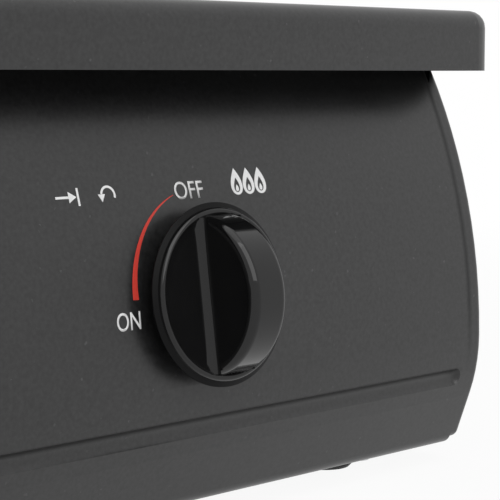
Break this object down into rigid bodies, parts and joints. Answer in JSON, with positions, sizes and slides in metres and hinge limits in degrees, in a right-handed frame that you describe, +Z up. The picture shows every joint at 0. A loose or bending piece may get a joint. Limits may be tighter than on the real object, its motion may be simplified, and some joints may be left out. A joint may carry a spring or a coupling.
{
  "type": "two-burner gas stove",
  "caption": "Tabletop gas stove in painted sheet steel with a swept front panel, push-and-turn knobs, round burners, lift-off drip trays and pan supports.",
  "frame": {"origin": "on the table under the middle of the stove's box", "axes": "+X to the right as seen from the front, the front faces -Y, +Z up"},
  "size_m": [0.598, 0.399, 0.159],
  "materials": {
    "painted_body": "charcoal satin paint with a faint texture",
    "rubber": "matt moulded",
    "zinc_steel": "zinc plated",
    "stainless": "spun stainless",
    "die_cast": "as cast",
    "brass": "turned",
    "cast_iron": "as cast, blackened",
    "enamel": "black vitreous enamel, satin",
    "knob_plastic": "black, glossy",
    "igniter_plastic": "moulded",
    "ceramic": "unglazed",
    "lead_jacket": "silicone jacket"
  },
  "bodies": {
    "chassis": {"base_pan": "painted_body", "front_panel": "painted_body", "left_side_panel": "painted_body", "right_side_panel": "painted_body", "rear_panel": "painted_body", "top_plate": "painted_body", "rubber_feet": "rubber", "base_screws": "zinc_steel", "rear_screws": "zinc_steel", "gas_pipe": "zinc_steel", "pipe_brackets": "zinc_steel", "inlet_nipple": "brass", "left_valve_body": "die_cast", "left_injector": "brass", "left_return_spring": "zinc_steel", "left_burner_stand": "zinc_steel", "left_burner_body": "cast_iron", "left_igniter": "igniter_plastic", "left_insulator": "ceramic", "left_spark_wire": "stainless", "left_spark_lead": "lead_jacket", "left_flame_sensor": "stainless", "left_sensor_lead": "lead_jacket", "right_valve_body": "die_cast", "right_injector": "brass", "right_return_spring": "zinc_steel", "right_burner_stand": "zinc_steel", "right_burner_body": "cast_iron", "right_igniter": "igniter_plastic", "right_insulator": "ceramic", "right_spark_wire": "stainless", "right_spark_lead": "lead_jacket", "right_flame_sensor": "stainless", "right_sensor_lead": "lead_jacket"},
    "left_push_body": {"left_push_sleeve": "zinc_steel"},
    "left_knob_body": {"left_knob": "knob_plastic", "left_valve_stem": "brass"},
    "left_shutter_body": {"left_air_shutter": "zinc_steel"},
    "left_tray_body": {"left_drip_tray": "stainless"},
    "left_support_body": {"left_pan_support": "enamel"},
    "left_cap_body": {"left_burner_cap": "cast_iron"},
    "right_push_body": {"right_push_sleeve": "zinc_steel"},
    "right_knob_body": {"right_knob": "knob_plastic", "right_valve_stem": "brass"},
    "right_shutter_body": {"right_air_shutter": "zinc_steel"},
    "right_tray_body": {"right_drip_tray": "stainless"},
    "right_support_body": {"right_pan_support": "enamel"},
    "right_cap_body": {"right_burner_cap": "cast_iron"}
  },
  "joints": [
    {"name": "left_knob_push", "type": "slide", "parent": "chassis", "child": "left_push_body", "axis": [0, 0.9917, -0.1287], "range_m": [0, 0.0022], "stiffness_N_per_m": 800, "deforming": ["left_return_spring"]},
    {"name": "left_knob_turn", "type": "hinge", "parent": "left_push_body", "child": "left_knob_body", "pos_m": [-0.18, -0.1773, 0.061], "axis": [0, -0.9917, 0.1287], "range_deg": [0, 90]},
    {"name": "left_shutter_turn", "type": "hinge", "parent": "chassis", "child": "left_shutter_body", "pos_m": [-0.174, -0.10328, 0.061], "axis": [0, 1, 0], "range_deg": [0, 60]},
    {"name": "left_tray_lift", "type": "slide", "parent": "chassis", "child": "left_tray_body", "axis": [0, 0, 1], "range_m": [0, 0.12]},
    {"name": "left_support_lift", "type": "slide", "parent": "left_tray_body", "child": "left_support_body", "axis": [0, 0, 1], "range_m": [0, 0.1]},
    {"name": "left_cap_lift", "type": "slide", "parent": "chassis", "child": "left_cap_body", "axis": [0, 0, 1], "range_m": [0, 0.06]},
    {"name": "right_knob_push", "type": "slide", "parent": "chassis", "child": "right_push_body", "axis": [0, 0.9917, -0.1287], "range_m": [0, 0.0022], "stiffness_N_per_m": 800, "deforming": ["right_return_spring"]},
    {"name": "right_knob_turn", "type": "hinge", "parent": "right_push_body", "child": "right_knob_body", "pos_m": [0.18, -0.1773, 0.061], "axis": [0, -0.9917, 0.1287], "range_deg": [0, 90]},
    {"name": "right_shutter_turn", "type": "hinge", "parent": "chassis", "child": "right_shutter_body", "pos_m": [0.174, -0.10328, 0.061], "axis": [0, 1, 0], "range_deg": [0, 60]},
    {"name": "right_tray_lift", "type": "slide", "parent": "chassis", "child": "right_tray_body", "axis": [0, 0, 1], "range_m": [0, 0.12]},
    {"name": "right_support_lift", "type": "slide", "parent": "right_tray_body", "child": "right_support_body", "axis": [0, 0, 1], "range_m": [0, 0.1]},
    {"name": "right_cap_lift", "type": "slide", "parent": "chassis", "child": "right_cap_body", "axis": [0, 0, 1], "range_m": [0, 0.06]}
  ]
}
